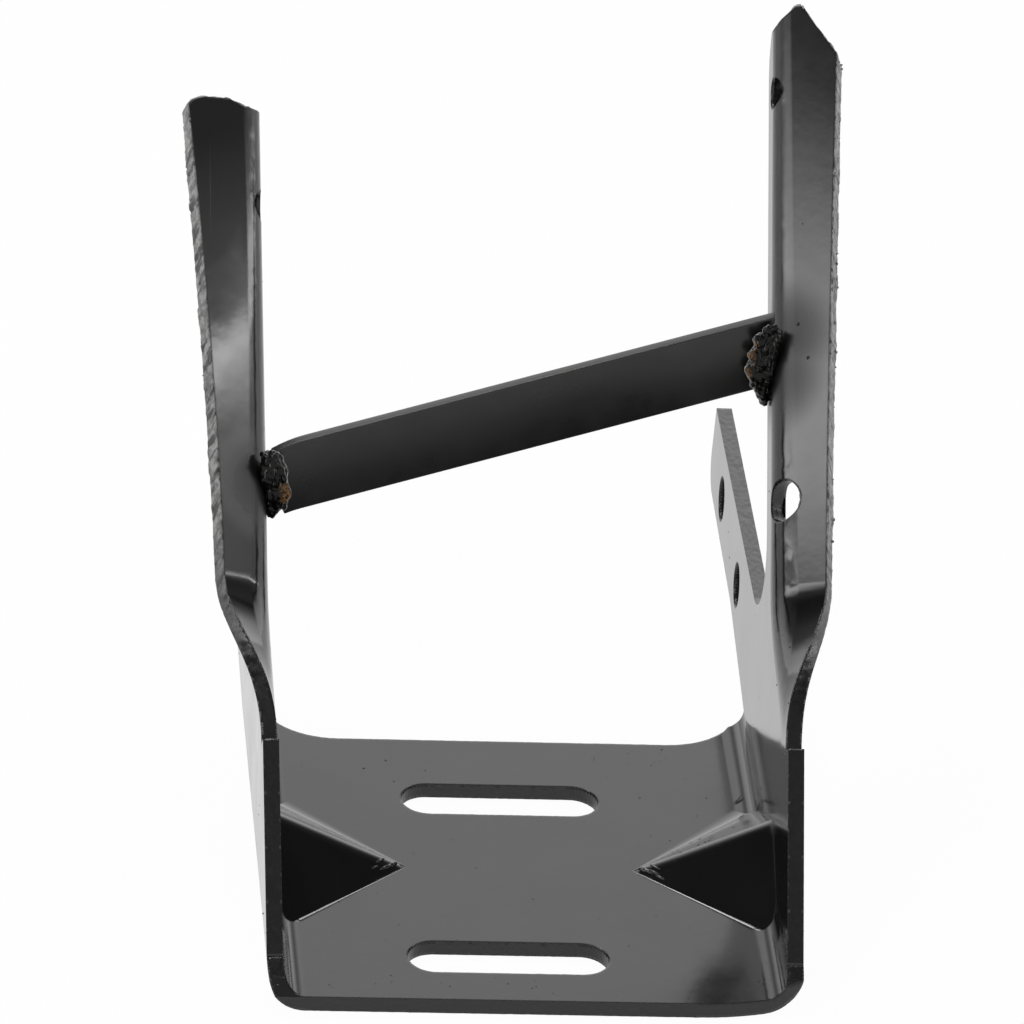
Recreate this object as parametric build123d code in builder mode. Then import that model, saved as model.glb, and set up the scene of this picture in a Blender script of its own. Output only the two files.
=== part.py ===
import os
from math import cos, radians, sin, sqrt

from build123d import *

# Bumper bracket: one stamped channel with two arms and two rear tabs,
# a flat brace bar between the arms and a weld bead at each end of the bar.
# Frame in mm: origin at the centre of the base underside, X across the part,
# Y from the front edge to the tabs, Z up.

# stock
sheet = 4.0
bend_in = 5.5
bend_out = bend_in + sheet

# base
base_wide = 131.7
base_deep = 118.8
slot_long = 50.0
slot_wide = 14.0
slot_front = (-5.7, -40.4)
slot_rear = (-2.7, 31.8)
ear_deep = 8.7
ear_round = 20.0
nose_from = 40.0
nose_round = 64.0
ear_inset = 2.15
bevel_deep = 3.0
bevel_rise = 2.6

# arms: points are (up, back), measured along the sloping front edge from
# the base corner, and square to it towards the rear
arm_slope = radians(45)
arm_back = 41.0
flat_keep = 5.0
turn_keep = arm_back - flat_keep
turn_from = 34.0
turn_low = 12.0
turn_spare = 2.8
turn_least = radians(0.2)
turn_radius_low = 10.5
turn_radius_top = 6.5
right_turn = (radians(63), radians(65))
left_turn = (radians(58), radians(72))
turn_late = 4
sweep_low = 68.0
sweep_high = 116.0
right_top = 267.5
left_top = 239.2
right_reach = (12.3, 15.1)
left_reach = (11.5, 18.7)
reach_power = 1.4

# tops of the flat strips: drops below the arm's top, and distances in from the rear edge
right_shoulder = ((5.0, flat_keep), (6.5, 3.5), (10.5, 1.0), (15.5, 0.0))
left_shoulder = ((1.9, flat_keep), (3.2, 2.6), (6.0, 0.9), (14.0, 0.0))

# right arm's pointed top
right_point = 5.1
right_blunt = 1.2
right_step = 3.0
right_slope = 18.0 / 11.4

# left arm's top, sloping up to its full height at this distance outward
left_level = 8.0
left_corner = 9.0

# how far a cut runs past what it cuts
over = 2.0

# how far each side wall leans outward
right_lean = radians(1.0)
left_lean = radians(1.65)

# rear tabs
tab_end = 175.0
tab_low = 15.0
tab_top = 36.0
tab_root = 42.0
tab_hole = 12.0
tab_hole_high = 24.5
tab_hole_near = 105.0
tab_hole_far = 148.0
tab_end_round = 8.0
tab_root_round = 14.0
tab_level_from = 113.0

# arm holes: heights along the arm, or drops below its top
pass_hole = 11.0
pass_hole_up = 138.3
pass_hole_turn = radians(35)
top_hole = 8.5
top_hole_turn = radians(6)
right_hole_drop = 21.5
left_hole_drop = 26.2

# gussets pressed into the base corners
gusset_reach = 33.5
gusset_rise = 15.5
gusset_half = 30.0
gusset_skin = 3.6
gusset_ridge = 5.0

# brace bar and welds: points are (inset from the foot of the wall's inner face, rear, up)
brace_tall = 19.5
brace_thick = 3.0
brace_gap = 0.25
brace_left = (0.95, 63.1, 77.2)
brace_right = (0.55, 88.4, 102.5)
# welds: points down the bead like the bar's, each with the bead's radius there
bead_sides = 12
left_bead = (
    (-1.6, 61.6, 86.0, 2.2),
    (-0.9, 61.3, 82.0, 3.5),
    (0.1, 61.0, 74.5, 3.7),
    (-0.8, 61.2, 68.0, 1.0),
)
right_bead = (
    (-1.4, 87.4, 110.0, 2.2),
    (0.2, 86.6, 105.5, 3.5),
    (1.2, 86.2, 98.5, 3.9),
    (-0.6, 86.2, 89.0, 1.0),
)


def hinge(lean):
    """Across and up position of the bend centre under a wall that leans outward."""
    high = sheet + bend_in
    return base_wide / 2 + (high * sin(lean) - bend_out) / cos(lean), high


def wall_plane(lean):
    """On the bend centre: x to the rear, y up the wall, z outward."""
    across, high = hinge(lean)
    return Plane(origin=(across, 0, high), x_dir=(0, 1, 0), z_dir=(cos(lean), 0, -sin(lean)))


def arm_point(up, back):
    """An arm point as rear and up distances on the wall plane."""
    rear = -base_deep / 2 + up * sin(arm_slope) + back * cos(arm_slope)
    return rear, up * cos(arm_slope) - back * sin(arm_slope) - hinge(0)[1]


def arm_plane(lean, up):
    """Square to the arm: x to the rear, y outward from the inner face."""
    wall = wall_plane(lean)
    rear, high = arm_point(up, 0)
    along = wall.x_dir * sin(arm_slope) + wall.y_dir * cos(arm_slope)
    back = wall.x_dir * cos(arm_slope) - wall.y_dir * sin(arm_slope)
    start = wall.origin + wall.x_dir * rear + wall.y_dir * high + wall.z_dir * bend_in
    return Plane(origin=start, x_dir=back, z_dir=along * -1)


def ease(value):
    value = min(1.0, max(0.0, value))
    return value * value * (3 - 2 * value)


def mix(pair, share):
    return pair[0] + (pair[1] - pair[0]) * share


def turn_radius(share):
    """Radius of the turned face at this share of the straight length."""
    return mix((turn_radius_low, turn_radius_top), share)


def arm_section(lean, up, start, radius, turn, reach):
    """Flat strip, bend of this radius and angle, and a flange out to this reach."""
    flange = (reach - radius * (1 - cos(turn))) / sin(turn)

    def turned(size, angle):
        return start - size * sin(angle), radius - size * cos(angle)

    def tip(point):
        return point[0] - flange * cos(turn), point[1] + flange * sin(turn)

    inner = turned(radius, turn)
    outer = turned(radius - sheet, turn)
    with BuildSketch(arm_plane(lean, up)) as section:
        with BuildLine():
            Line((turn_keep, 0), (start, 0))
            ThreePointArc((start, 0), turned(radius, turn / 2), inner)
            Polyline(inner, tip(inner), tip(outer), outer)
            ThreePointArc(outer, turned(radius - sheet, turn / 2), (start, sheet))
            Polyline((start, sheet), (turn_keep, sheet), (turn_keep, 0))
        make_face()
    return section.sketch


def turned_arm(lean, top, turns, reaches):
    """Arm in front of the flat wall: the sweep out of the wall, then the straight length."""
    swept = []
    for n in range(8):
        share = ease(n / 7)
        turn = mix((turn_least, turns[0]), share)
        start = mix((turn_low, turn_from), share)
        # the arc keeps its length while it straightens out towards the wall
        arc = turn_radius_low * turns[0] * mix((turn_low / turn_from, 1), share)
        flange = mix((turn_spare, first_flange(turns, reaches)), share)
        reach = arc / turn * (1 - cos(turn)) + flange * sin(turn)
        swept.append(arm_section(lean, mix((sweep_low, sweep_high), n / 7), start, arc / turn, turn, reach))
    straight = []
    for n in range(4):
        share = n / 3
        turn = mix(turns, share**turn_late)
        reach = mix(reaches, share**reach_power)
        up = mix((sweep_high, top), share)
        straight.append(arm_section(lean, up, turn_from, turn_radius(share), turn, reach))
    with BuildPart() as arm:
        loft(sections=swept)
        loft(sections=straight)
    return arm.part


def first_flange(turns, reaches):
    """Flange length where the straight length starts."""
    return (reaches[0] - turn_radius_low * (1 - cos(turns[0]))) / sin(turns[0])


def flat_wall(lean, top, shoulder):
    """Flat plate of a side wall with its arm strip and its rear tab."""
    base_high = hinge(0)[1]
    rear = base_deep / 2 + ear_deep
    corner_up = tab_root / cos(arm_slope) + arm_back
    with BuildPart() as wall:
        with BuildSketch(wall_plane(lean).offset(bend_in)) as outline:
            with BuildLine():
                Polyline(
                    arm_point(base_high / cos(arm_slope), 0),
                    arm_point(sweep_low, 0),
                    arm_point(sweep_low, turn_keep),
                    *[arm_point(top - drop, arm_back - inset) for drop, inset in shoulder],
                    arm_point(corner_up, arm_back),
                    (tab_end, tab_top - base_high),
                    (tab_end, tab_low - base_high),
                    (tab_level_from, tab_low - base_high),
                    (rear, 0),
                    close=True,
                )
            make_face()
            root = Vector(*arm_point(corner_up, arm_back))
            fillet(outline.vertices().sort_by_distance(root)[0], radius=tab_root_round)
            end = Vector(tab_end, tab_low - base_high)
            fillet(outline.vertices().sort_by_distance(end)[0], radius=tab_end_round)
        extrude(amount=sheet)
        with BuildSketch(wall_plane(lean)) as holes:
            with Locations(*[(y, tab_hole_high - base_high) for y in (tab_hole_near, tab_hole_far)]):
                Circle(tab_hole / 2)
        extrude(amount=bend_out + sheet, mode=Mode.SUBTRACT)
    return wall.part


def base_channel():
    """Flat base with the bend at each side, longer there towards the rear tabs."""
    right_x, high = hinge(right_lean)
    left_x = -hinge(left_lean)[0]

    def on_bend(side, centre, radius, lean, share):
        turn = (radians(90) - lean) * share
        return centre + side * radius * sin(turn), high - radius * cos(turn)

    def right_bend(radius, share):
        return on_bend(1, right_x, radius, right_lean, share)

    def left_bend(radius, share):
        return on_bend(-1, left_x, radius, left_lean, share)

    with BuildPart() as channel:
        with BuildSketch(Plane.XZ.offset(base_deep / 2)):
            with BuildLine():
                Line((left_x, 0), (right_x, 0))
                ThreePointArc(*[right_bend(bend_out, share) for share in (0, 0.5, 1)])
                Line(right_bend(bend_out, 1), right_bend(bend_in, 1))
                ThreePointArc(*[right_bend(bend_in, share) for share in (1, 0.5, 0)])
                Line((right_x, sheet), (left_x, sheet))
                ThreePointArc(*[left_bend(bend_in, share) for share in (0, 0.5, 1)])
                Line(left_bend(bend_in, 1), left_bend(bend_out, 1))
                ThreePointArc(*[left_bend(bend_out, share) for share in (1, 0.5, 0)])
            make_face()
        extrude(amount=-(base_deep + ear_deep))
        with BuildSketch(Plane.XY):
            with Locations(slot_front, slot_rear):
                SlotOverall(slot_long, slot_wide)
        extrude(amount=sheet * 2, both=True, mode=Mode.SUBTRACT)
        add(rear_scrap(), mode=Mode.SUBTRACT)
        add(nose_scrap(), mode=Mode.SUBTRACT)
        for x, side in ((right_x, 1), (left_x, -1)):
            with BuildSketch(Plane.YZ.offset(x + side * bend_out)):
                with BuildLine():
                    front = -base_deep / 2
                    Polyline(
                        (front - over, sheet),
                        (front, sheet),
                        (front + bevel_deep, sheet + bevel_rise),
                        (front + high, high),
                        (front + high + over, high + over),
                        (front - over, high + over),
                        close=True,
                    )
                make_face()
            extrude(amount=bend_out, both=True, mode=Mode.SUBTRACT)
    return channel.part


def rear_scrap():
    """Scrap behind the base, which leaves an ear with a large inside round at each bend."""
    rear = base_deep / 2
    ear_to = base_wide / 2 - bend_out + ear_inset
    ear_from = ear_to - sqrt(ear_round**2 - (ear_round - ear_deep) ** 2)
    with BuildPart() as scrap:
        with BuildSketch(Plane.XY):
            with BuildLine():
                Line((-ear_from, rear), (ear_from, rear))
                RadiusArc((ear_from, rear), (ear_to, rear + ear_deep), -ear_round)
                Polyline(
                    (ear_to, rear + ear_deep),
                    (ear_to, rear + ear_deep + over),
                    (-ear_to, rear + ear_deep + over),
                    (-ear_to, rear + ear_deep),
                )
                RadiusArc((-ear_to, rear + ear_deep), (-ear_from, rear), -ear_round)
            make_face()
        extrude(amount=bend_out, both=True)
    return scrap.part


def nose_scrap():
    """Scrap off the front edge, which runs back towards the right bend."""
    front = -base_deep / 2
    side = base_wide / 2
    back = nose_round - sqrt(nose_round**2 - (side - nose_from) ** 2)
    with BuildPart() as scrap:
        with BuildSketch(Plane.XY):
            with BuildLine():
                RadiusArc((nose_from, front), (side, front + back), -nose_round)
                Polyline(
                    (side, front + back),
                    (side, front - over),
                    (nose_from, front - over),
                    (nose_from, front),
                )
            make_face()
        extrude(amount=bend_out, both=True)
    return scrap.part


def corner_pyramid(x, z, scale, ridge):
    """Three-sided raised gusset in the right corner, its ridge from base to wall."""
    reach, rise, half = gusset_reach * scale, gusset_rise * scale, gusset_half * scale
    with BuildPart() as body:
        with BuildSketch(Plane.XZ) as profile:
            with BuildLine():
                Polyline((x, z), (x - reach, z), (x, z + rise), close=True)
            make_face()
        extrude(amount=half, both=True)
        for side in (1, -1):
            face = Plane(origin=(x, side * half, z), z_dir=(-1 / reach, side / half, 1 / rise))
            split(bisect_by=face, keep=Keep.BOTTOM)
        edge = body.edges().sort_by_distance((x - reach / 2, 0, z + rise / 2))[0]
        fillet(edge, radius=ridge)
    return body.part


def pressed_gussets(body):
    """Press both gussets: fill inside the corner, dent outside by the skin thickness."""
    slope = sqrt(1 / gusset_reach**2 + 1 / gusset_rise**2 + 1 / gusset_half**2)
    corner = base_wide / 2 - sheet
    grow = 1 / gusset_reach + 1 / gusset_rise
    fill_in = sheet / 2
    dent_in = bend_out - bend_in + 1
    dent_scale = 1 - gusset_skin * slope + dent_in * grow
    raised = corner_pyramid(corner + fill_in, sheet - fill_in, 1 + fill_in * grow, gusset_ridge)
    dent = corner_pyramid(corner + dent_in, sheet - dent_in, dent_scale, gusset_ridge - gusset_skin)
    with BuildPart() as pressed:
        add(body)
        add(raised)
        add(mirror(raised, about=Plane.YZ))
        add(dent, mode=Mode.SUBTRACT)
        add(mirror(dent, about=Plane.YZ), mode=Mode.SUBTRACT)
    return pressed.part


def bend_hole(lean, top, turn, up, size):
    """Round punch through the arm bend, square to the sheet after this much of the turn."""
    plane = arm_plane(lean, up)
    radius = turn_radius((up - sweep_high) / (top - sweep_high))
    inner = (turn_from - radius * sin(turn), radius - radius * cos(turn))
    away = plane.x_dir * sin(turn) + plane.y_dir * cos(turn)
    with BuildPart() as punch:
        with BuildSketch(Plane(origin=plane.from_local_coords(Vector(*inner)), z_dir=away)):
            Circle(size / 2)
        extrude(amount=sheet + over, both=True)
    return punch.part


def arm_top_plane(lean, top):
    """On the end of the flat strip: x outward, y up the arm, z towards the front."""
    plane = arm_plane(lean, top)
    return Plane(origin=plane.origin + plane.x_dir * turn_keep, x_dir=plane.y_dir, z_dir=plane.x_dir * -1)


def right_top_trim():
    """Scrap around the pointed top of the right arm."""
    side = right_reach[1] + sheet
    drop = right_slope * (side - right_point - right_blunt)
    with BuildPart() as scrap:
        with BuildSketch(arm_top_plane(right_lean, right_top)):
            with BuildLine():
                Polyline(
                    (-over, over),
                    (-over, -right_shoulder[0][0]),
                    (0, -right_shoulder[0][0]),
                    (right_point - 3.5, -right_step),
                    (right_point, 0),
                    (right_point + right_blunt, 0),
                    (side, -drop),
                    (side + sheet, -drop),
                    (side + sheet, over),
                    close=True,
                )
            make_face()
        extrude(amount=base_wide / 2)
    return scrap.part


def left_top_trim():
    """Scrap around the top of the left arm, with its rounded outer corner."""
    side = left_reach[1] + sheet / 2
    drop = left_shoulder[0][0]
    with BuildPart() as scrap:
        with BuildSketch(arm_top_plane(left_lean, left_top)):
            with BuildLine():
                ThreePointArc((side - left_corner, 0), (side - 2.5, -2), (side, -left_corner))
                Polyline(
                    (side, -left_corner),
                    (side + left_corner, -left_corner),
                    (side + left_corner, over),
                    (-over, over),
                    (-over, -drop),
                    (sheet, -drop),
                    (left_level, 0),
                    (side - left_corner, 0),
                )
            make_face()
        extrude(amount=base_wide / 2)
    return scrap.part


def inside(point, side):
    """Point at this inset from the foot of the right (1) or left (-1) wall."""
    inset, rear, high = point
    return Vector(side * (base_wide / 2 - sheet - inset), rear, high)


def brace_plane():
    """On the front face of the bar at its middle, x along the bar, z forward."""
    left, right = inside(brace_left, -1), inside(brace_right, 1)
    along = (right - left).normalized()
    return Plane(origin=(left + right) * 0.5, x_dir=along, z_dir=along.cross(Vector(0, 0, 1)))


def weld_bead(stations, side):
    """Tapered weld bead through its stations, level sections."""
    with BuildPart() as bead:
        for *point, radius in stations:
            with BuildSketch(Plane(origin=inside(point, side))):
                RegularPolygon(radius, bead_sides)
        loft(ruled=True)
    return bead.part


# the stamping: channel, side walls, arms, gussets, holes
right_wall = flat_wall(right_lean, right_top, right_shoulder)
left_wall = flat_wall(left_lean, left_top, left_shoulder)
right_arm = turned_arm(right_lean, right_top, right_turn, right_reach)
left_arm = turned_arm(left_lean, left_top, left_turn, left_reach)
pass_punch = bend_hole(right_lean, right_top, pass_hole_turn, pass_hole_up, pass_hole)
right_punch = bend_hole(right_lean, right_top, top_hole_turn, right_top - right_hole_drop, top_hole)
left_punch = bend_hole(left_lean, left_top, top_hole_turn, left_top - left_hole_drop, top_hole)

with BuildPart() as stamped_bracket:
    add(pressed_gussets(base_channel()))
    add(right_wall)
    add(right_arm)
    add(mirror(left_wall, about=Plane.YZ))
    add(mirror(left_arm, about=Plane.YZ))
    add(right_top_trim(), mode=Mode.SUBTRACT)
    add(mirror(left_top_trim(), about=Plane.YZ), mode=Mode.SUBTRACT)
    add(pass_punch, mode=Mode.SUBTRACT)
    add(right_punch, mode=Mode.SUBTRACT)
    add(mirror(left_punch, about=Plane.YZ), mode=Mode.SUBTRACT)

# the brace bar, square at the left end and fitted to the right wall
bar_long = (inside(brace_right, 1) - inside(brace_left, -1)).length
with BuildPart() as brace_bar:
    with BuildSketch(brace_plane()):
        with Locations((sheet, 0)):
            Rectangle(bar_long + 2 * sheet, brace_tall)
    extrude(amount=-brace_thick)
    split(bisect_by=wall_plane(right_lean).offset(bend_in - brace_gap), keep=Keep.BOTTOM)
    add(stamped_bracket.part, mode=Mode.SUBTRACT)

# weld beads in front of both bar ends
with BuildPart() as left_weld:
    add(weld_bead(left_bead, -1))
    add(stamped_bracket.part, mode=Mode.SUBTRACT)
    add(brace_bar.part, mode=Mode.SUBTRACT)

with BuildPart() as right_weld:
    add(weld_bead(right_bead, 1))
    add(stamped_bracket.part, mode=Mode.SUBTRACT)
    add(brace_bar.part, mode=Mode.SUBTRACT)

stamped_bracket.part.label = "stamped_bracket"
brace_bar.part.label = "brace_bar"
left_weld.part.label = "left_weld"
right_weld.part.label = "right_weld"
os.makedirs("parts", exist_ok=True)
export_step(stamped_bracket.part, "parts/stamped_bracket.step")
export_step(brace_bar.part, "parts/brace_bar.step")
export_step(left_weld.part, "parts/left_weld.step")
export_step(right_weld.part, "parts/right_weld.step")
for piece in (stamped_bracket, brace_bar, left_weld, right_weld):
    print(piece.part.label, round(piece.part.volume), len(piece.part.solids()), piece.part.is_valid)
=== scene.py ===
import bmesh
import bpy
import math
import numpy as np
from mathutils import Matrix, Vector, noise
from mathutils.bvhtree import BVHTree


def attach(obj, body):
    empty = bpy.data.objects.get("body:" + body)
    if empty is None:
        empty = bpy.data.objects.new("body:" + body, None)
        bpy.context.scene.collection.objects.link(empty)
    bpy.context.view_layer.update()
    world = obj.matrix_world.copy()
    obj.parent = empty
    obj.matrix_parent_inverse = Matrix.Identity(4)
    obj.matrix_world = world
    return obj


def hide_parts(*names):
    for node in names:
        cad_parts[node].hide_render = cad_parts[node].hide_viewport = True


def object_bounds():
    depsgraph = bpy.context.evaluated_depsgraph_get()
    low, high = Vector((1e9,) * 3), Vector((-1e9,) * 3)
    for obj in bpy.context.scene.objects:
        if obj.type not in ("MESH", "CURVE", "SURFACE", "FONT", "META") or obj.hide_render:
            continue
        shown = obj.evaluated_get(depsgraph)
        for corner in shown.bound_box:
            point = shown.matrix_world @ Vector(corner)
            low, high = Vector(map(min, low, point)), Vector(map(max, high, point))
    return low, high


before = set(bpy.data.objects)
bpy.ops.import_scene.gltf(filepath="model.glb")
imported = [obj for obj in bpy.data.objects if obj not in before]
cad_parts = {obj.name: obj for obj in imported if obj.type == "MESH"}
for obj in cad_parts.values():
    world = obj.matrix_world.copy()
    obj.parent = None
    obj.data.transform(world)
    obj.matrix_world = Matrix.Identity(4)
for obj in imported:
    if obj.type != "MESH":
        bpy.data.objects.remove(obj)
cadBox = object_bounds()
bpy.context.scene.view_settings.view_transform = "Standard"
print("frame loaded")

# camera

cameraSettings = {
    "aimAt": (-0.031949, -0.199866, 0.226882),  # point on the view axis
    "distance": 2.4,
    "pitch": 30.697,  # degrees down
    "yaw": 6.523,     # degrees to the left of the front
    "roll": -4.618,
    "lens": 379.5,
    "farEnd": 30,
}


def addCamera(settings):
    pitch, yaw, roll = (math.radians(settings[key]) for key in ("pitch", "yaw", "roll"))
    back = Vector((-math.sin(yaw) * math.cos(pitch), -math.cos(yaw) * math.cos(pitch), math.sin(pitch)))
    level = Vector((math.cos(yaw), -math.sin(yaw), 0))
    up = back.cross(level)
    right = level * math.cos(roll) - up * math.sin(roll)
    up = up * math.cos(roll) + level * math.sin(roll)
    camera = bpy.data.objects.new("camera", bpy.data.cameras.new("camera"))
    camera.data.lens = settings["lens"]
    camera.data.clip_end = settings["farEnd"]
    turn = Matrix((right, up, back)).transposed()
    place = Vector(settings["aimAt"]) + back * settings["distance"]
    camera.matrix_world = Matrix.Translation(place) @ turn.to_4x4()
    bpy.context.scene.collection.objects.link(camera)
    bpy.context.scene.camera = camera


addCamera(cameraSettings)
print("camera set")

# helpers for node trees


def newMaterial(name):
    material = bpy.data.materials.new(name)
    material.use_nodes = True
    tree = material.node_tree
    return material, tree.nodes, tree.links, tree.nodes["Principled BSDF"]


def feed(links, socket, value):  # a socket takes a link or a plain value
    if isinstance(value, bpy.types.NodeSocket):
        links.new(value, socket)
    else:
        socket.default_value = value


def addMath(nodes, links, operation, *values):
    step = nodes.new("ShaderNodeMath")
    step.operation = operation
    for socket, value in zip(step.inputs, values):
        feed(links, socket, value)
    return step.outputs[0]


def addProduct(nodes, links, *factors):
    product = factors[0]
    for factor in factors[1:]:
        product = addMath(nodes, links, "MULTIPLY", product, factor)
    return product


def addRange(nodes, links, value, low, high, toLow=0.0, toHigh=1.0, kind="LINEAR"):
    ranger = nodes.new("ShaderNodeMapRange")
    ranger.interpolation_type = kind
    links.new(value, ranger.inputs["Value"])
    for key, number in (("From Min", low), ("From Max", high), ("To Min", toLow), ("To Max", toHigh)):
        ranger.inputs[key].default_value = number
    return ranger.outputs["Result"]


def addBand(nodes, links, value, marks):  # rises over the first two marks, falls over the last two
    rise = addRange(nodes, links, value, marks[0], marks[1], 0, 1, "SMOOTHSTEP")
    fall = addRange(nodes, links, value, marks[2], marks[3], 1, 0, "SMOOTHSTEP")
    return addProduct(nodes, links, rise, fall)


def addAxes(nodes, links, place, kind="Object"):
    axes = nodes.new("ShaderNodeSeparateXYZ")
    links.new(place.outputs[kind], axes.inputs[0])
    return axes.outputs


def addDistance(nodes, links, place, point):
    away = nodes.new("ShaderNodeVectorMath")
    away.operation = "DISTANCE"
    away.inputs[1].default_value = point
    links.new(place.outputs["Object"], away.inputs[0])
    return away.outputs["Value"]


def addNoise(nodes, links, vector, scale, detail, roughness=0.55):
    grain = nodes.new("ShaderNodeTexNoise")
    grain.inputs["Scale"].default_value = scale
    grain.inputs["Detail"].default_value = detail
    grain.inputs["Roughness"].default_value = roughness
    links.new(vector, grain.inputs["Vector"])
    return grain.outputs["Fac"]


def addSqueezed(nodes, links, place, scale, turn=0.0):  # object coordinates squeezed along some axes
    squeeze = nodes.new("ShaderNodeMapping")
    squeeze.inputs["Rotation"].default_value = (math.radians(turn), 0, 0)
    squeeze.inputs["Scale"].default_value = scale
    links.new(place.outputs["Object"], squeeze.inputs["Vector"])
    return squeeze.outputs[0]


def spreadNoise(nodes, links, cloud, limits):  # the usual range of a noise, stretched between the limits
    low, high = limits
    return addRange(nodes, links, cloud, 0.35, 0.7, low, high)


def mixColours(nodes, links, share, first, second):
    blend = nodes.new("ShaderNodeMix")
    blend.data_type = "RGBA"
    for index, value in ((0, share), (6, first), (7, second)):
        feed(links, blend.inputs[index], value)
    return blend.outputs[2]


def mixNumbers(nodes, links, share, first, second):
    blend = nodes.new("ShaderNodeMix")
    blend.data_type = "FLOAT"
    for index, value in ((0, share), (2, first), (3, second)):
        feed(links, blend.inputs[index], value)
    return blend.outputs[0]


def mixShaders(nodes, links, share, first, second):
    blend = nodes.new("ShaderNodeMixShader")
    for socket, value in zip(blend.inputs, (share, first, second)):
        links.new(value, socket)
    links.new(blend.outputs[0], nodes["Material Output"].inputs["Surface"])


def addBump(nodes, links, shader, height, distance, strength, normal=None):
    bump = nodes.new("ShaderNodeBump")
    bump.inputs["Distance"].default_value = distance
    bump.inputs["Strength"].default_value = strength
    if normal:
        links.new(normal, bump.inputs["Normal"])
    links.new(height, bump.inputs["Height"])
    links.new(bump.outputs[0], shader.inputs["Normal"])


# studio

studioSettings = {
    "floorSize": 6.0,
    "floorGap": 0.0002,
    "floorColour": 0.93,
    "floorRoughness": 0.9,
    "floorGlow": 0.97,         # share of plain white that the camera sees on the floor
    "floorMirror": 0.9,        # the same for the floor seen in the paint
    "skyHigh": 0.3,            # how bright the dark ceiling is in reflections
    "skyEdge": (0.54, 0.72),   # heights of the soft edge between the white walls and the ceiling
    "rearFrom": (0.2, 0.8),    # where the rear wall begins and is in full
    "rearWall": 1.8,           # how much brighter the wall behind the part is than the others
    "corners": (88, 104, 152, 166),  # degrees from the front where the dark corners rise and fall
    "cornerHigh": (0.22, 0.42),
    "cornerDark": 0.8,
    "ambient": 0.42,
}


def addWorld(settings):
    world = bpy.data.worlds.new("studio")
    world.use_nodes = True
    bpy.context.scene.world = world
    nodes, links = world.node_tree.nodes, world.node_tree.links
    nodes.clear()
    axes = addAxes(nodes, links, nodes.new("ShaderNodeTexCoord"), "Generated")
    rear = addRange(nodes, links, axes["Y"], *settings["rearFrom"], 1.0, settings["rearWall"])
    height = addRange(nodes, links, axes["Z"], *settings["skyEdge"], 1.0, settings["skyHigh"])
    front = addMath(nodes, links, "MULTIPLY", axes["Y"], -1.0)
    turned = addMath(nodes, links, "ARCTAN2", axes["X"], front)
    aside = addMath(nodes, links, "ABSOLUTE", turned)
    corner = addBand(nodes, links, aside, [math.radians(angle) for angle in settings["corners"]])
    above = addRange(nodes, links, axes["Z"], *settings["cornerHigh"], 0, 1, "SMOOTHSTEP")
    corner = addProduct(nodes, links, corner, above)
    dimmed = addRange(nodes, links, corner, 0, 1, 1.0, 1.0 - settings["cornerDark"])
    walls = addProduct(nodes, links, rear, height, dimmed)
    path = nodes.new("ShaderNodeLightPath").outputs
    mirrored = mixNumbers(nodes, links, path["Is Glossy Ray"], settings["ambient"], walls)
    seen = addMath(nodes, links, "MAXIMUM", path["Is Camera Ray"], path["Is Transmission Ray"])
    background = nodes.new("ShaderNodeBackground")
    background.inputs["Color"].default_value = (1, 1, 1, 1)
    links.new(mixNumbers(nodes, links, seen, mirrored, 1.0), background.inputs["Strength"])
    output = nodes.new("ShaderNodeOutputWorld")
    links.new(background.outputs[0], output.inputs["Surface"])


def addFloor(settings):
    half = settings["floorSize"] / 2
    corners = [(-half, -half, 0), (half, -half, 0), (half, half, 0), (-half, half, 0)]
    mesh = bpy.data.meshes.new("floor")
    mesh.from_pydata(corners, [], [(0, 1, 2, 3)])
    floor = bpy.data.objects.new("floor", mesh)
    floor.location.z = cadBox[0][2] - settings["floorGap"]
    bpy.context.scene.collection.objects.link(floor)
    material, nodes, links, shader = newMaterial("floorPaper")
    colour = settings["floorColour"]
    shader.inputs["Base Color"].default_value = (colour, colour, colour, 1)
    shader.inputs["Roughness"].default_value = settings["floorRoughness"]
    path = nodes.new("ShaderNodeLightPath").outputs
    mirror = addMath(nodes, links, "MULTIPLY", path["Is Glossy Ray"], settings["floorMirror"])
    share = addMath(nodes, links, "MULTIPLY_ADD", path["Is Camera Ray"], settings["floorGlow"], mirror)
    glow = nodes.new("ShaderNodeEmission")
    mixShaders(nodes, links, share, shader.outputs[0], glow.outputs[0])
    mesh.materials.append(material)


# Each soft strip lights one point of the part. The directions of its middle and of one end
# are degrees from the front to the right and degrees up. The four marks along and across
# say where its glow rises and falls.
softStrips = {
    "leftStrip": {
        "lights": (0.0695, 0.062, 0.09), "middle": (-76, 36), "end": (-95, 17), "distance": 0.9,
        "along": (-0.45, -0.25, 0.33, 0.8), "across": (-0.165, -0.028, 0.012, 0.022), "strength": 6.6,
    },
    "rightStrip": {
        "lights": (-0.073, 0.092, 0.116), "middle": (86, 29), "end": (101, 15.5), "distance": 1.0,
        "along": (-0.2, -0.08, 0.48, 0.7), "across": (-0.030, -0.020, -0.004, 0.010), "strength": 12.0,
    },
    "rearLeft": {
        "lights": (-0.045, -0.015, 0.005), "middle": (147, 48), "end": (165, 40), "distance": 1.0,
        "along": (-0.16, -0.08, 0.08, 0.14), "across": (-0.07, -0.04, 0.04, 0.07), "strength": 11.0,
    },
    "rearRight": {
        "lights": (0.045, -0.015, 0.005), "middle": (-161, 55), "end": (-135, 58), "distance": 1.0,
        "along": (-0.12, -0.07, 0.14, 0.22), "across": (-0.08, -0.05, 0.05, 0.08), "strength": 16.0,
    },
}


def pointing(azimuth, height):
    azimuth, height = math.radians(azimuth), math.radians(height)
    level = math.cos(height)
    return Vector((math.sin(azimuth) * level, -math.cos(azimuth) * level, math.sin(height)))


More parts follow.
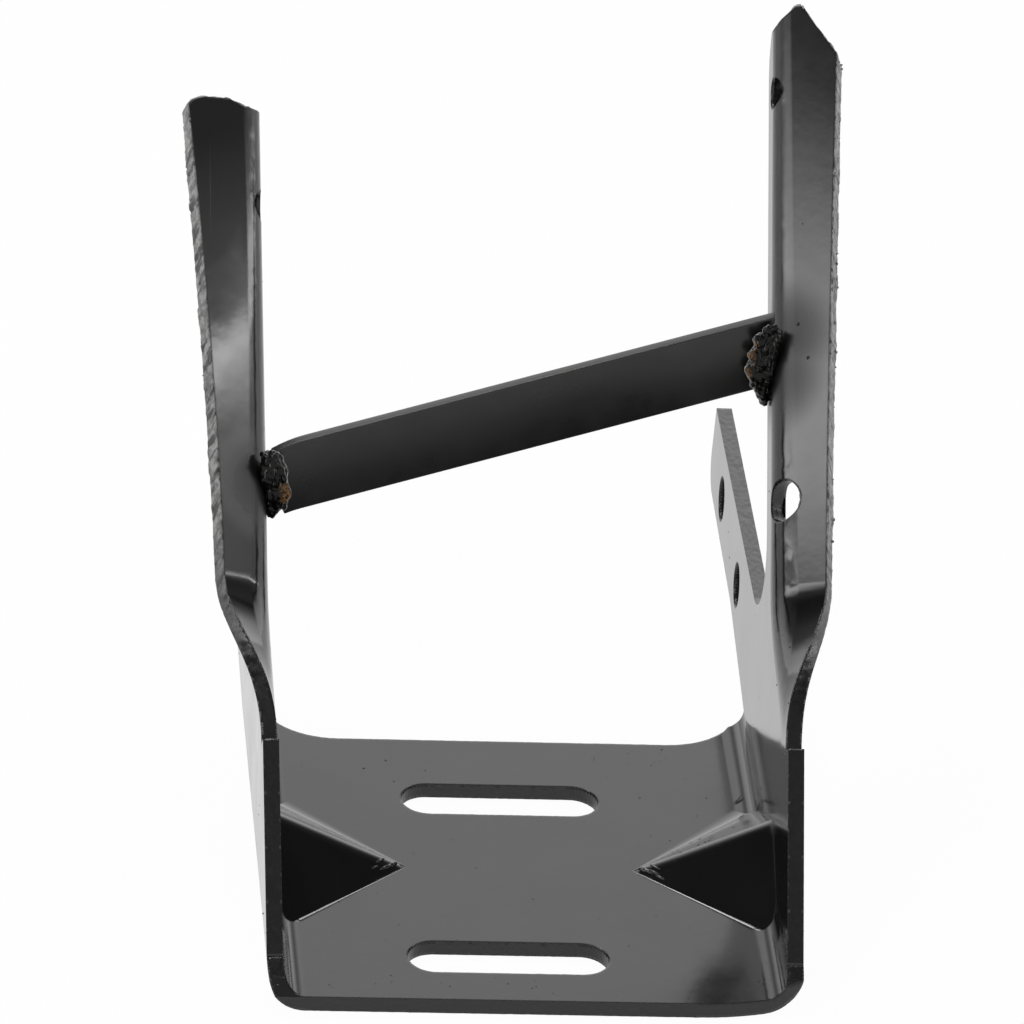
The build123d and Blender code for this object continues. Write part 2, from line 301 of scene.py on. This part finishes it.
def addSoftStrip(name, settings):
    along, across = settings["along"], settings["across"]
    aim = pointing(*settings["middle"])
    lengthwise = pointing(*settings["end"]) - aim
    lengthwise = (lengthwise - aim * lengthwise.dot(aim)).normalized()
    mesh = bpy.data.meshes.new(name)
    corners = [(along[i], across[j], 0) for i, j in ((0, 0), (-1, 0), (-1, -1), (0, -1))]
    mesh.from_pydata(corners, [], [(0, 1, 2, 3)])
    strip = bpy.data.objects.new(name, mesh)
    turn = Matrix((lengthwise, aim.cross(lengthwise), aim)).transposed()
    place = Vector(settings["lights"]) + aim * settings["distance"]
    strip.matrix_world = Matrix.Translation(place) @ turn.to_4x4()
    strip.visible_camera = False
    bpy.context.scene.collection.objects.link(strip)
    material, nodes, links, shader = newMaterial(name + "Glow")
    axes = addAxes(nodes, links, nodes.new("ShaderNodeTexCoord"))
    sides = nodes.new("ShaderNodeNewGeometry")
    share = addProduct(nodes, links, addBand(nodes, links, axes["X"], along),
                       addBand(nodes, links, axes["Y"], across), sides.outputs["Backfacing"])
    clear = nodes.new("ShaderNodeBsdfTransparent")
    glow = nodes.new("ShaderNodeEmission")
    glow.inputs["Strength"].default_value = settings["strength"]
    mixShaders(nodes, links, share, clear.outputs[0], glow.outputs[0])
    mesh.materials.append(material)


addWorld(studioSettings)
addFloor(studioSettings)
for name, settings in softStrips.items():
    addSoftStrip(name, settings)
print("studio built")

# black paint

paintSettings = {
    "colour": (0.006, 0.006, 0.0065, 1),
    "roughness": (0.09, 0.15),
    "cloudScale": 45,
    "edgeRound": 0.0006,
    "edgeSamples": 4,
    "ridgeRound": 0.0022,            # rounding along the ridges of the gussets
    "ridgeHalf": (0.0025, 0.0040),   # how far from a ridge that rounding fades
    "ridgeFrom": (0.0045, 0.0090),   # heights where it starts
    "ridgeTo": (0.0190, 0.0200),     # heights where it stops
    "dull": 0.36,                    # roughness of the paint round the welds
    "dullSpots": ((-0.0655, 0.0595, 0.0775), (0.0640, 0.0830, 0.0985), (0.0645, 0.0870, 0.1100)),
    "dullReach": (0.0030, 0.0200),
    "peelScale": 260,
    "peelDeep": 0.00005,
    "peel": 0.2,                     # strength of the orange peel
}


def glossPaint(name, settings):
    material, nodes, links, shader = newMaterial(name)
    place = nodes.new("ShaderNodeTexCoord")
    shader.inputs["Base Color"].default_value = settings["colour"]
    cloud = addNoise(nodes, links, place.outputs["Object"], settings["cloudScale"], 3)
    gloss = spreadNoise(nodes, links, cloud, settings["roughness"])
    least = settings["roughness"][0]
    for spot in settings["dullSpots"]:
        away = addDistance(nodes, links, place, spot)
        dull = addRange(nodes, links, away, *settings["dullReach"], settings["dull"], least, "SMOOTHSTEP")
        gloss = addMath(nodes, links, "MAXIMUM", gloss, dull)
    links.new(gloss, shader.inputs["Roughness"])
    axes = addAxes(nodes, links, place)
    across = addMath(nodes, links, "ABSOLUTE", axes["Y"])
    ridge = addProduct(nodes, links, addRange(nodes, links, across, *settings["ridgeHalf"], 1, 0),
                       addRange(nodes, links, axes["Z"], *settings["ridgeFrom"]),
                       addRange(nodes, links, axes["Z"], *settings["ridgeTo"], 1, 0))
    bevel = nodes.new("ShaderNodeBevel")
    bevel.samples = settings["edgeSamples"]
    rounding = addRange(nodes, links, ridge, 0, 1, settings["edgeRound"], settings["ridgeRound"])
    links.new(rounding, bevel.inputs["Radius"])
    peel = addNoise(nodes, links, place.outputs["Object"], settings["peelScale"], 2)
    addBump(nodes, links, shader, peel, settings["peelDeep"], settings["peel"], bevel.outputs[0])
    return material


def setMaterial(piece, material):
    piece.data.materials.clear()
    piece.data.materials.append(material)


bracketPaint = glossPaint("bracketPaint", paintSettings)
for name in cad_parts:
    setMaterial(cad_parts[name], bracketPaint)
print("paint on")

# helpers for meshes


def worldMesh(node):  # copy of a node's mesh in world coordinates, with its points joined
    mesh = bmesh.new()
    mesh.from_mesh(node.data)
    bmesh.ops.transform(mesh, matrix=node.matrix_world, verts=mesh.verts)
    bmesh.ops.remove_doubles(mesh, verts=mesh.verts, dist=2e-6)
    return mesh


def addPiece(name, mesh, material, sharpAngle):
    data = bpy.data.meshes.new(name)
    mesh.to_mesh(data)
    mesh.free()
    data.validate()
    data.shade_smooth()
    data.set_sharp_from_angle(angle=math.radians(sharpAngle))
    piece = bpy.data.objects.new(name, data)
    bpy.context.scene.collection.objects.link(piece)
    data.materials.append(material)
    return piece


def splitLong(mesh, longest):
    for _ in range(9):
        edges = [edge for edge in mesh.edges if edge.calc_length() > longest]
        if not edges:
            break
        bmesh.ops.subdivide_edges(mesh, edges=edges, cuts=1)
        bmesh.ops.triangulate(mesh, faces=[face for face in mesh.faces if len(face.verts) > 3])


def wave(point, scale, seed=0.0):
    return noise.noise(Vector(point) * scale + Vector((seed, seed * 0.7, -seed)))


def addLump(mesh, place, axes, size, fineness):  # an egg, its sizes given along the three axes
    shape = Matrix.Translation(place) @ axes.to_4x4() @ Matrix.Diagonal((*size, 1))
    return bmesh.ops.create_icosphere(mesh, subdivisions=fineness, radius=1, matrix=shape)["verts"]


def countTriangles(piece):
    return sum(len(face.vertices) - 2 for face in piece.data.polygons)


# cut edges: a rough skin over every narrow face of the bracket

edgeSettings = {
    "crease": 33,           # degrees between an edge face and its neighbours
    "narrow": 0.0023,       # area over outline length of the widest edge face
    "cell": 0.0011,
    "lift": 0.00003,
    "sink": 0.00003,        # how far the skin's rim reaches under the sheet's face
    "grain": 0.00009,
    "grainScale": 900,
    "tornOutside": 0.069,   # distance from the middle where the flanges' torn edges start
    "tornFrom": 0.056,      # height where they start
    "tornFade": 0.01,
    "armWay": (0, 0.7071, 0.7071),
    "tornLift": 0.00018,
    "tornScale": 650,
    "plateLong": 0.0023,    # length of the steps that the torn edge breaks into
    "plateBend": 0.0012,
    "plateScale": 300,
    "groove": 0.2,          # share of the height that is left between two steps
    "chunk": 0.00035,       # how far the highest steps stand out
    "burrs": 70,
    "burrSize": (0.00010, 0.00045),
    "burrCorner": 0.9,      # radians between faces where a burr can grow
    "burrScale": 2600,
    "seed": 7,
}


def narrowFaces(mesh, crease, narrow):  # faces of the patches that are only as wide as the sheet
    found, seen = [], set()
    for start in mesh.faces:
        if start in seen:
            continue
        patch, queue, outline = [], [start], 0.0
        seen.add(start)
        while queue:
            face = queue.pop()
            patch.append(face)
            for edge in face.edges:
                smooth = len(edge.link_faces) == 2 and edge.calc_face_angle(4) < crease
                if not smooth:
                    outline += edge.calc_length()
                    continue
                for other in edge.link_faces:
                    if other not in seen:
                        seen.add(other)
                        queue.append(other)
        area = sum(face.calc_area() for face in patch)
        if outline and area / outline < narrow:
            found.append(patch)
    return found


def tornHeight(point, side, settings):
    fade = min(1.0, (point.z - settings["tornFrom"]) / settings["tornFade"])
    along = Vector(settings["armWay"]).dot(point)
    bend = settings["plateBend"] * wave(point, settings["plateScale"], side)
    shift = (along + bend) / settings["plateLong"]
    step = abs(shift % 1.0 - 0.5) * 2
    line = settings["groove"] + (1 - settings["groove"]) * min(1.0, step * 4)
    plate = math.floor(shift + 0.5)
    chunk = max(0.0, wave((plate * 0.37, side, 0), 1.0, 3.0 + side) * 2.2)
    rough = 0.6 + 0.8 * wave(point, settings["tornScale"], 11)
    return fade * (settings["tornLift"] * rough + settings["chunk"] * min(1.0, chunk)) * line


def onRim(vert, corner):
    return any(len(edge.link_faces) < 2 or edge.calc_face_angle(0) > corner for edge in vert.link_edges)


def addBurrs(mesh, torn, settings):  # small ragged lumps along the outline of the torn edges
    dice = np.random.default_rng(settings["seed"])
    rims = [(vert.co.copy(), vert.normal.copy()) for vert in torn
            if vert.is_valid and onRim(vert, settings["burrCorner"])]
    low, high = settings["burrSize"]
    for n in dice.choice(len(rims), settings["burrs"]):
        place, normal = rims[n]
        size = low + (high - low) * dice.random() ** 2.5
        spread = (size * (0.5 + dice.random()), size * (0.5 + dice.random()), size)
        for vert in addLump(mesh, place, normal.to_track_quat("Z", "Y").to_matrix(), spread, 2):
            vert.co += (vert.co - place) * 0.5 * wave(vert.co, settings["burrScale"], n % 7)


def addRims(mesh, start, sink):  # closes the skin's outline down to just under the sheet's face
    for edge in [edge for edge in mesh.edges if len(edge.link_faces) == 1]:
        first, second = edge.verts
        loop = edge.link_faces[0].loops
        if any(item.vert == first and item.link_loop_next.vert == second for item in loop):
            first, second = second, first
        if first.normal.length > 0 and first in start and second in start:
            low = [mesh.verts.new(start[vert] - vert.normal * sink) for vert in (first, second)]
            mesh.faces.new((first, second, low[1], low[0]))
    bmesh.ops.remove_doubles(mesh, verts=list(mesh.verts), dist=1e-6)


def edgeSkin(node, material, settings):
    mesh = worldMesh(node)
    crease = math.radians(settings["crease"])
    patches = narrowFaces(mesh, crease, settings["narrow"])
    keep = {face for patch in patches for face in patch}
    bmesh.ops.delete(mesh, geom=[face for face in mesh.faces if face not in keep], context="FACES")
    bmesh.ops.split_edges(mesh, edges=[edge for edge in mesh.edges
                                       if len(edge.link_faces) == 2 and edge.calc_face_angle(0) > crease])
    splitLong(mesh, settings["cell"])
    mesh.normal_update()
    start = {vert: vert.co.copy() for vert in mesh.verts}
    torn = []
    for vert, point in start.items():
        grain = settings["grain"] * (0.5 + wave(point, settings["grainScale"], settings["seed"]))
        height = settings["lift"] + grain
        side = 1 if point.x > 0 else -1
        if point.x * side > settings["tornOutside"] and point.z > settings["tornFrom"]:
            height += tornHeight(point, side, settings)
            torn.append(vert)
        vert.co = point + vert.normal * max(0.0, height)
    addRims(mesh, start, settings["sink"])
    addBurrs(mesh, torn, settings)
    return addPiece("bracketEdges", mesh, material, 40)


edgeColours = {
    "low": (0.008, 0.0077, 0.0075, 1),
    # rough torn metal, made lighter still by a painted sheen where the flange edges face the light
    "torn": (0.34, 0.336, 0.332, 1),
    "roughness": (0.20, 0.36),
    "cloudScale": 420,
    "flange": (0.067, 0.070),   # distances from the middle where the torn colour, rough metal with a painted sheen, starts
    "tornSheenRise": 0.02,
    "streakTurn": -45,          # squeezed noise gives dark lines square to the arms
    "streakSqueeze": (0.22, 1.0, 0.22),
    "streakScale": 700,
    "streaks": (0.40, 0.50, 0.12, 1.0),  # noise from and to, and the shares of colour there
    "clouds": (0.38, 0.62, 0.35, 1.0),
    "grainScale": 1500,
    "grainDeep": 0.00006,
    "grain": 0.5,
}


def edgePaint(name, settings, tornFrom):
    material, nodes, links, shader = newMaterial(name)
    place = nodes.new("ShaderNodeTexCoord")
    axes = addAxes(nodes, links, place)
    # the torn colour, partly a painted sheen, rises with height above the start of the torn edges
    height = addRange(nodes, links, axes["Z"], tornFrom, tornFrom + settings["tornSheenRise"])
    outer = addMath(nodes, links, "ABSOLUTE", axes["X"])
    flange = addRange(nodes, links, outer, *settings["flange"])
    cloud = addNoise(nodes, links, place.outputs["Object"], settings["cloudScale"], 5, 0.65)
    squeezed = addSqueezed(nodes, links, place, settings["streakSqueeze"], settings["streakTurn"])
    streak = addNoise(nodes, links, squeezed, settings["streakScale"], 3, 0.5)
    torn = addProduct(nodes, links, height, flange, addRange(nodes, links, streak, *settings["streaks"]),
                      addRange(nodes, links, cloud, *settings["clouds"]))
    links.new(mixColours(nodes, links, torn, settings["low"], settings["torn"]), shader.inputs["Base Color"])
    links.new(spreadNoise(nodes, links, cloud, settings["roughness"]), shader.inputs["Roughness"])
    grain = addNoise(nodes, links, place.outputs["Object"], settings["grainScale"], 4)
    addBump(nodes, links, shader, grain, settings["grainDeep"], settings["grain"])
    return material


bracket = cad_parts["stamped_bracket"]
cutEdgePaint = edgePaint("cutEdgePaint", edgeColours, edgeSettings["tornFrom"])
edges = edgeSkin(bracket, cutEdgePaint, edgeSettings)
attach(edges, "root")
print("cut edges skinned, triangles", countTriangles(edges))

# brace bar with rounded edges and its worn left corner

braceSettings = {
    "pieces": 61,          # lengths that the long edges are cut into
    "rounding": 0.00045,
    "cornerLong": 0.0085,
    "cornerDrop": 0.0015,
    "sharp": 0.8,          # radians between faces where an edge is rounded
    "colour": (0.015, 0.0145, 0.0142, 1),
    "roughness": (0.27, 0.36),
    "cloudScale": 120,
    "grainScale": 900,
    "grainDeep": 0.00004,
    "grain": 0.35,
}


def satinPaint(name, settings):
    material, nodes, links, shader = newMaterial(name)
    place = nodes.new("ShaderNodeTexCoord").outputs["Object"]
    shader.inputs["Base Color"].default_value = settings["colour"]
    cloud = addNoise(nodes, links, place, settings["cloudScale"], 4)
    links.new(spreadNoise(nodes, links, cloud, settings["roughness"]), shader.inputs["Roughness"])
    grain = addNoise(nodes, links, place, settings["grainScale"], 3)
    addBump(nodes, links, shader, grain, settings["grainDeep"], settings["grain"])
    return material


def onTop(vert):  # not lower than its neighbours at the same place along the bar
    near = [edge.other_vert(vert).co for edge in vert.link_edges]
    return vert.co.z > max(point.z for point in near if abs(point.x - vert.co.x) < 0.002) - 0.001


def braceSkin(node, material, settings):
    mesh = worldMesh(node)
    bmesh.ops.dissolve_limit(mesh, angle_limit=0.01, verts=mesh.verts, edges=mesh.edges)
    longest = max(edge.calc_length() for edge in mesh.edges)
    long = [edge for edge in mesh.edges if edge.calc_length() > longest * 0.8]
    bmesh.ops.subdivide_edges(mesh, edges=long, cuts=settings["pieces"] - 1, use_grid_fill=True)
    left = min(vert.co.x for vert in mesh.verts)
    for vert in mesh.verts:
        share = (vert.co.x - left) / settings["cornerLong"]
        if share < 1 and onTop(vert):
            vert.co.z -= settings["cornerDrop"] * (1 - share) ** 2
    sharp = [edge for edge in mesh.edges
             if len(edge.link_faces) == 2 and edge.calc_face_angle(0) > settings["sharp"]]
    bmesh.ops.bevel(mesh, geom=sharp, offset=settings["rounding"], segments=3, affect="EDGES", profile=0.6)
    return addPiece("braceSkin", mesh, material, 30)


brace = braceSkin(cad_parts["brace_bar"], satinPaint("bracePaint", braceSettings), braceSettings)
brace.visible_glossy = False  # keeps its dark mirror image off the base
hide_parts("brace_bar")
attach(brace, "root")
print("brace skinned")

# welds: lumps over the plain beads, joined and rippled. Each lump is a point and a radius.

weldSettings = {
    "cell": 0.00032,
    "smoothing": 7,
    "ripple": 0.00005,
    "rippleTurns": 3900,
    "lump": 0.00045,
    "lumpScale": 300,
    "fold": 0.00045,
    "foldStretch": (2.4, 1.6, 0.6),
    "foldScale": 560,
    "grit": 0.00010,
    "gritScale": 1700,
    "flat": {"left": 0.0596, "right": 0.0840},  # depth from which the bead is pressed flatter
    "flatter": 0.25,
    "left": (
        ((-0.0652, 0.0624, 0.0852), 0.0011), ((-0.0632, 0.0614, 0.0850), 0.0019),
        ((-0.0616, 0.0612, 0.0828), 0.0019), ((-0.0640, 0.0610, 0.0805), 0.0019),
        ((-0.0612, 0.0610, 0.0795), 0.0018), ((-0.0608, 0.0610, 0.0762), 0.0018),
        ((-0.0634, 0.0612, 0.0760), 0.0016), ((-0.0598, 0.0608, 0.0730), 0.0013),
        ((-0.0626, 0.0612, 0.0718), 0.0013), ((-0.0592, 0.0610, 0.0712), 0.0008),
        ((-0.0626, 0.0618, 0.0694), 0.0009),
    ),
    "right": (
        ((0.0634, 0.0862, 0.1113), 0.0009), ((0.0616, 0.0858, 0.1110), 0.0015),
        ((0.0596, 0.0854, 0.1082), 0.0019), ((0.0616, 0.0852, 0.1062), 0.0019),
        ((0.0586, 0.0852, 0.1042), 0.0018), ((0.0606, 0.0850, 0.1022), 0.0019),
        ((0.0582, 0.0850, 0.0998), 0.0016), ((0.0604, 0.0850, 0.0982), 0.0018),
        ((0.0594, 0.0852, 0.0958), 0.0014), ((0.0612, 0.0854, 0.0942), 0.0015),
        ((0.0618, 0.0858, 0.0912), 0.0012), ((0.0624, 0.0862, 0.0894), 0.0007),
    ),
}


def joinLumps(name, mesh, material, settings):
    rough = addPiece(name + "Rough", mesh, material, 35)
    remesh = rough.modifiers.new("join", "REMESH")
    remesh.mode = "VOXEL"
    remesh.voxel_size = settings["cell"]
    remesh.adaptivity = 0
    soften = rough.modifiers.new("soften", "SMOOTH")
    soften.factor = 0.5
    soften.iterations = settings["smoothing"]
    bpy.context.view_layer.update()
    ready = rough.evaluated_get(bpy.context.evaluated_depsgraph_get())
    joined = bmesh.new()
    joined.from_mesh(ready.to_mesh())
    ready.to_mesh_clear()
    bpy.data.objects.remove(rough)
    return joined


def weldSkin(side, node, material, settings):
    name = side + "WeldSkin"
    mesh = worldMesh(node)
    flat = settings["flat"][side]
    for vert in mesh.verts:
        vert.co.y = max(vert.co.y, flat + (vert.co.y - flat) * settings["flatter"])
    for point, radius in settings[side]:
        bmesh.ops.create_icosphere(mesh, subdivisions=2, radius=radius, matrix=Matrix.Translation(point))
    joined = joinLumps(name, mesh, material, settings)
    joined.normal_update()
    stretch, lumpScale = settings["foldStretch"], settings["lumpScale"]
    for vert in joined.verts:
        point = vert.co
        turns = (point.z + 0.3 * point.x + 0.0006 * wave(point, 400)) * settings["rippleTurns"]
        height = settings["ripple"] * math.sin(turns) + settings["lump"] * wave(point, lumpScale, 5)
        folded = [part * factor for part, factor in zip(point, stretch)]
        height += settings["fold"] * wave(folded, settings["foldScale"], 9)
        height += settings["grit"] * wave(point, settings["gritScale"], 3)
        vert.co = point + vert.normal * height
    return addPiece(name, joined, material, 60)


weldColours = {
    "paint": (0.004, 0.0037, 0.0034, 1),
    # light grey of the glints: partly bare metal, partly a painted highlight on the black bead
    "bareMetalAndGlint": (0.20, 0.19, 0.17, 1),
    "rust": (0.30, 0.155, 0.055, 1),
    "roughness": (0.13, 0.7),       # of the paint and of the rust
    "mirror": 0.2,
    "rustSpots": (
        ((-0.0593, 0.0598, 0.0770), 0.0012), ((-0.0590, 0.0598, 0.0748), 0.0014),
        ((0.0577, 0.0838, 0.1070), 0.0013), ((0.0568, 0.0838, 0.1038), 0.0014),
        ((0.0566, 0.0838, 0.0992), 0.0012),
    ),
    "rustEdge": (0.75, 1.7),        # where a spot starts to fade and ends, over its radius
    "rustScale": 1500,
    "speckles": (0.40, 0.56),       # noise from and to where the rust shows
    "glintSqueeze": (1.0, 1.0, 0.35),  # light grey glints, partly bare metal and partly painted highlights, are drawn out along the bead
    "glintScale": 1300,
    "glints": (0.60, 0.70),
    "gritScale": 900,
    "gritDeep": 0.0002,
    "grit": 0.8,
}


def weldPaint(name, settings):
    material, nodes, links, shader = newMaterial(name)
    shader.inputs["Specular IOR Level"].default_value = settings["mirror"]
    place = nodes.new("ShaderNodeTexCoord")
    total = None
    for point, radius in settings["rustSpots"]:
        inner, outer = (radius * factor for factor in settings["rustEdge"])
        share = addRange(nodes, links, addDistance(nodes, links, place, point), inner, outer, 1.0, 0.0)
        total = share if total is None else addMath(nodes, links, "MAXIMUM", total, share)
    speckle = addNoise(nodes, links, place.outputs["Object"], settings["rustScale"], 4, 0.6)
    rusty = addProduct(nodes, links, total, addRange(nodes, links, speckle, *settings["speckles"]))
    squeezed = addSqueezed(nodes, links, place, settings["glintSqueeze"])
    glint = addNoise(nodes, links, squeezed, settings["glintScale"], 5, 0.5)
    glint = addRange(nodes, links, glint, *settings["glints"])
    # painted highlights: thin light grey streaks on the black bead, partly bare metal
    paintWithGlints = mixColours(nodes, links, glint, settings["paint"], settings["bareMetalAndGlint"])
    links.new(mixColours(nodes, links, rusty, paintWithGlints, settings["rust"]), shader.inputs["Base Color"])
    links.new(addRange(nodes, links, rusty, 0, 1, *settings["roughness"]), shader.inputs["Roughness"])
    grit = addNoise(nodes, links, place.outputs["Object"], settings["gritScale"], 5, 0.6)
    addBump(nodes, links, shader, grit, settings["gritDeep"], settings["grit"])
    return material


beadPaint = weldPaint("weldPaint", weldColours)
for side in ("left", "right"):
    nodeName = side + "_weld"
    bead = weldSkin(side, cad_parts[nodeName], beadPaint, weldSettings)
    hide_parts(nodeName)
    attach(bead, "root")
    print(nodeName, "skinned, triangles", countTriangles(bead))

# gussets: hollow fillets along each foot, and wrinkles at each point

gussetSettings = {
    "corner": 0.06185,   # inner face of the walls at the base
    "floor": 0.004,
    "reach": 0.0335,
    "rise": 0.0155,
    "half": 0.030,
    "front": {"fillet": (0.0007, 0.0042), "stop": 0.84, "power": 1.6, "uneven": 0.35},
    "rear": {"fillet": (0.0004, 0.0120), "stop": 0.90, "power": 1, "uneven": 0},
    "unevenScale": 260,
    "rows": 32,
    "steps": 16,
    "lift": 0.00001,
    "lowest": 0.0002,    # least height of a wrinkle's middle over the floor
    "wrinkles": (
        # side, share along the reach from the point, distance off the ridge, length, width
        (-1, 0.13, -0.0016, 0.0019, 0.0005), (-1, 0.17, -0.0026, 0.0016, 0.0004),
        (-1, 0.20, -0.0012, 0.0015, 0.0004), (-1, 0.10, -0.0008, 0.0014, 0.0006),
        (-1, 0.24, -0.0034, 0.0013, 0.0003),
        (1, 0.10, -0.0012, 0.0022, 0.0005), (1, 0.15, -0.0022, 0.0018, 0.0004),
        (1, 0.19, -0.0040, 0.0016, 0.0004), (1, 0.16, -0.0010, 0.0017, 0.0003),
        (1, 0.07, -0.0006, 0.0013, 0.0005),
    ),
}


def gussetFace(settings, side, front):  # normal of a gusset face, pointing out of the gusset
    return Vector((-side / settings["reach"], front / settings["half"], 1 / settings["rise"])).normalized()


def gussetPoint(settings, side):
    return Vector((side * (settings["corner"] - settings["reach"]), 0, settings["floor"]))


def addFillet(mesh, normals, side, front, foot, settings):
    up = Vector((0, 0, 1))
    face = gussetFace(settings, side, front)
    point = gussetPoint(settings, side)
    wall = Vector((side * settings["corner"], front * settings["half"], settings["floor"]))
    small, large = foot["fillet"]
    steps = settings["steps"]
    rows = []
    for n in range(settings["rows"] + 1):
        share = n / settings["rows"] * foot["stop"]
        spot = point.lerp(wall, share)
        radius = small + (large - small) * share ** foot["power"]
        radius *= 1 + foot["uneven"] * wave(spot, settings["unevenScale"], side)
        centre = spot + (up + face) / (1 + up.dot(face)) * radius
        row = []
        for k in range(steps + 1):
            out = up.slerp(face, k / steps) if k else up
            row.append(mesh.verts.new(centre - out * (radius - settings["lift"])))
            normals.append(out)
        rows.append(row)
    for first, second in zip(rows, rows[1:]):
        for k in range(steps):
            corners = (first[k], second[k], second[k + 1], first[k + 1])
            mesh.faces.new(corners if side * front < 0 else corners[::-1])


def addWrinkles(mesh, settings):
    for side, share, across, long, wide in settings["wrinkles"]:
        face = gussetFace(settings, side, -1)
        point = gussetPoint(settings, side)
        along = Vector((side * settings["corner"], -settings["half"], settings["floor"])) - point
        along = (along - face * along.dot(face)).normalized()
        rise = settings["rise"] * (share + across / settings["half"])
        spot = Vector((side * (settings["corner"] - settings["reach"] * (1 - share)), across, 0))
        spot.z = settings["floor"] + max(settings["lowest"], rise)
        axes = Matrix((along, face.cross(along), face)).transposed()
        addLump(mesh, spot, axes, (long, wide, wide * 0.6), 3)


def gussetCreases(material, settings):
    mesh = bmesh.new()
    exact = []
    for side in (-1, 1):
        for front, foot in ((-1, settings["front"]), (1, settings["rear"])):
            addFillet(mesh, exact, side, front, foot, settings)
    addWrinkles(mesh, settings)
    piece = addPiece("gussetCreases", mesh, material, 50)
    normals = exact + [vert.normal.copy() for vert in piece.data.vertices[len(exact):]]
    piece.data.normals_split_custom_set_from_vertices(normals)
    return piece


creasePaint = glossPaint("creasePaint", {**paintSettings, "edgeRound": 0.0, "ridgeRound": 0.0})
crease = gussetCreases(creasePaint, gussetSettings)
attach(crease, "root")
print("gusset creases added")

# small marks in the paint: nibs on the surface, a scratch and a thin run

markSettings = {
    "nibs": 260,
    "nibSize": (0.00012, 0.00034),
    "patches": (
        # middle, spread and count of the denser patches of nibs
        ((0.045, 0.008), (0.012, 0.010), 26), ((0.057, -0.048), (0.004, 0.010), 16),
        ((0.034, 0.052), (0.016, 0.006), 14), ((-0.02, -0.052), (0.030, 0.004), 14),
    ),
    "patchAbove": 0.03,   # height from which the patches' nibs drop onto the base
    "dropLong": 0.04,
    "scratch": ((0.0565, 0.0322, 0.0042), (0.0580, 0.0333, 0.0045), (0.0588, 0.0350, 0.0052)),
    "scratchWide": 0.00022,
    "run": ((-0.07942, 0.12288, 0.14732), (-0.07919, 0.11030, 0.13653), (-0.07894, 0.09637, 0.12425)),
    "runWide": 0.00012,
    "dots": ((0.06939, 0.08861, 0.11129), (0.07168, 0.08132, 0.10588)),
    "dotSize": (0.00035, 0.0003, 0.0006),
    "seed": 21,
}


def addNibs(mesh, node, settings):
    source = worldMesh(node)
    source.normal_update()
    tree = BVHTree.FromBMesh(source)
    dice = np.random.default_rng(settings["seed"])
    spots = []
    low, high = settings["nibSize"]
    for middle, spread, count in settings["patches"]:
        for _ in range(count):
            spots.append(Vector((middle[0] + dice.normal(0, spread[0] / 2),
                                 middle[1] + dice.normal(0, spread[1] / 2), settings["patchAbove"])))
    hits = [tree.ray_cast(spot, Vector((0, 0, -1)), settings["dropLong"])[:2] for spot in spots]
    faces = sorted(source.faces, key=lambda face: face.index)
    areas = np.array([face.calc_area() for face in faces])
    for index in dice.choice(len(faces), settings["nibs"], p=areas / areas.sum()):
        face = faces[index]
        shares = dice.dirichlet(np.ones(len(face.verts)))
        place = sum((vert.co * share for vert, share in zip(face.verts, shares)), Vector())
        hits.append((place, face.normal.copy()))
    for place, normal in hits:
        size = low + (high - low) * dice.random() ** 3
        if place is None:
            continue
        spread = (size, size * (0.7 + 0.5 * dice.random()), size * 0.6)
        addLump(mesh, place, normal.to_track_quat("Z", "Y").to_matrix(), spread, 1)
    source.free()


def addCord(mesh, points, radius, rounds=8):  # thin raised line through the points, pointed at both ends
    rings = []
    for n, point in enumerate(points):
        ahead = points[min(n + 1, len(points) - 1)] - points[max(n - 1, 0)]
        side = ahead.cross(Vector((0, 0, 1))).normalized()
        top = side.cross(ahead).normalized()
        size = radius * math.sin(math.pi * (n + 0.35) / (len(points) - 0.3))
        turns = [2 * math.pi * k / rounds for k in range(rounds)]
        rings.append([mesh.verts.new(point + (side * math.cos(turn) + top * math.sin(turn)) * size)
                      for turn in turns])
    for first, second in zip(rings, rings[1:]):
        for k in range(rounds):
            mesh.faces.new((first[k], first[k - 1], second[k - 1], second[k]))
    mesh.faces.new(rings[0])
    mesh.faces.new(rings[-1][::-1])


def curvePoints(points, count):
    first, middle, last = (Vector(point) for point in points)
    shares = [n / (count - 1) for n in range(count)]
    return [first * (1 - t) ** 2 + middle * 2 * t * (1 - t) + last * t * t for t in shares]


marks = bmesh.new()
addNibs(marks, bracket, markSettings)
addCord(marks, curvePoints(markSettings["scratch"], 17), markSettings["scratchWide"])
addCord(marks, curvePoints(markSettings["run"], 41), markSettings["runWide"])
for spot in markSettings["dots"]:
    addLump(marks, spot, Matrix.Identity(3), markSettings["dotSize"], 3)
mark = addPiece("paintMarks", marks, bracketPaint, 60)
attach(mark, "root")
print("paint marks added")
